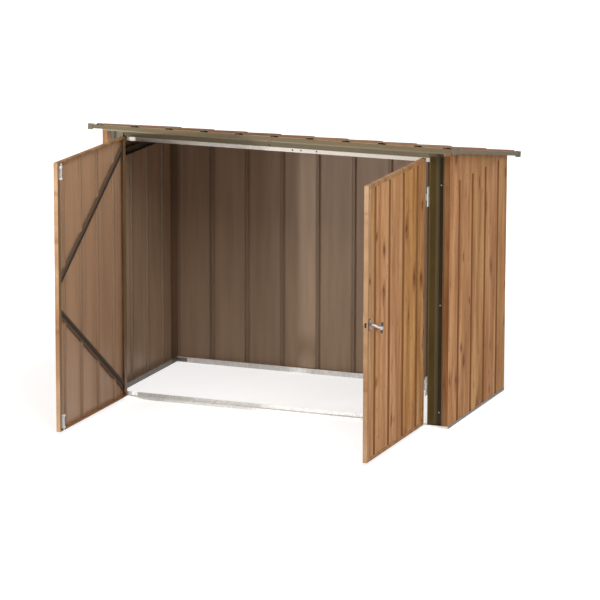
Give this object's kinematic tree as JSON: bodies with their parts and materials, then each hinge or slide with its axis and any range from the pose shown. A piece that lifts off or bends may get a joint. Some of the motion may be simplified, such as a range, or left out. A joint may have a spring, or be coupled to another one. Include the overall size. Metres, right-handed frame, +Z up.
{
  "type": "bicycle shed",
  "caption": "Low lean-to shed of ribbed sheet steel on a channel base, with double doors standing open for bicycles.",
  "frame": {"origin": "on the ground under the middle of the base, at the centre of the anchor-hole rectangle", "axes": "+X to the right along the front, +Y from the doors towards the back wall, +Z up; the doors stand open towards -Y"},
  "size_m": [2.03, 1.8303, 1.4683],
  "materials": {
    "wood_print_steel": "satin wood-grain print",
    "olive_steel": "satin",
    "galvanised_steel": "galvanised",
    "dark_steel": "satin",
    "corner_plastic": "matt",
    "bright_metal": "bright"
  },
  "bodies": {
    "shed": {"left_wall_sheet": "wood_print_steel", "right_wall_sheet": "wood_print_steel", "back_wall_sheet": "wood_print_steel", "left_gable_sheet": "wood_print_steel", "right_gable_sheet": "wood_print_steel", "left_front_corner_strip": "wood_print_steel", "right_front_corner_strip": "wood_print_steel", "left_door_jamb": "olive_steel", "right_door_jamb": "olive_steel", "header": "olive_steel", "left_back_corner_angle": "olive_steel", "right_back_corner_angle": "olive_steel", "roof_sheet": "olive_steel", "roof_front_trim": "olive_steel", "roof_back_trim": "olive_steel", "roof_left_trim": "olive_steel", "roof_right_trim": "olive_steel", "left_jamb_hinges": "galvanised_steel", "left_side_rail": "galvanised_steel", "right_jamb_hinges": "galvanised_steel", "right_side_rail": "galvanised_steel", "base_front_rail": "galvanised_steel", "base_back_rail": "galvanised_steel", "base_left_rail": "galvanised_steel", "base_right_rail": "galvanised_steel", "base_corner_brackets": "galvanised_steel", "header_rail": "galvanised_steel", "back_rail": "galvanised_steel", "roof_corner_caps": "corner_plastic", "trim_joint_clip": "corner_plastic"},
    "left_door": {"left_door_sheet": "wood_print_steel", "left_door_top_rail": "wood_print_steel", "left_door_bottom_rail": "wood_print_steel", "left_door_hinge_stile": "wood_print_steel", "left_door_lock_stile": "wood_print_steel", "left_door_braces": "dark_steel", "left_door_hinge_leaves": "galvanised_steel", "bolt_plates": "galvanised_steel"},
    "right_door": {"right_door_sheet": "wood_print_steel", "right_door_top_rail": "wood_print_steel", "right_door_bottom_rail": "wood_print_steel", "right_door_hinge_stile": "wood_print_steel", "right_door_lock_stile": "wood_print_steel", "right_door_braces": "dark_steel", "right_door_hinge_leaves": "galvanised_steel", "handle_rose": "bright_metal"},
    "upper_bolt": {"upper_bolt": "galvanised_steel"},
    "lower_bolt": {"lower_bolt": "galvanised_steel"},
    "handle": {"door_handle": "bright_metal"}
  },
  "joints": [
    {"name": "left_door_hinge", "type": "hinge", "parent": "shed", "child": "left_door", "pos_m": [-0.8433, -0.4751, 0.7105], "axis": [0, 0, 1], "range_deg": [-90, 90]},
    {"name": "right_door_hinge", "type": "hinge", "parent": "shed", "child": "right_door", "pos_m": [0.8433, -0.4751, 0.7105], "axis": [0, 0, -1], "range_deg": [-90, 90]},
    {"name": "upper_bolt_slide", "type": "slide", "parent": "left_door", "child": "upper_bolt", "axis": [0, 0, 1], "range_m": [0, 0.025]},
    {"name": "lower_bolt_slide", "type": "slide", "parent": "left_door", "child": "lower_bolt", "axis": [0, 0, -1], "range_m": [0, 0.018]},
    {"name": "handle_turn", "type": "hinge", "parent": "right_door", "child": "handle", "pos_m": [0.8373, -1.2854, 0.711], "axis": [1, 0, 0], "range_deg": [0, 90]}
  ]
}
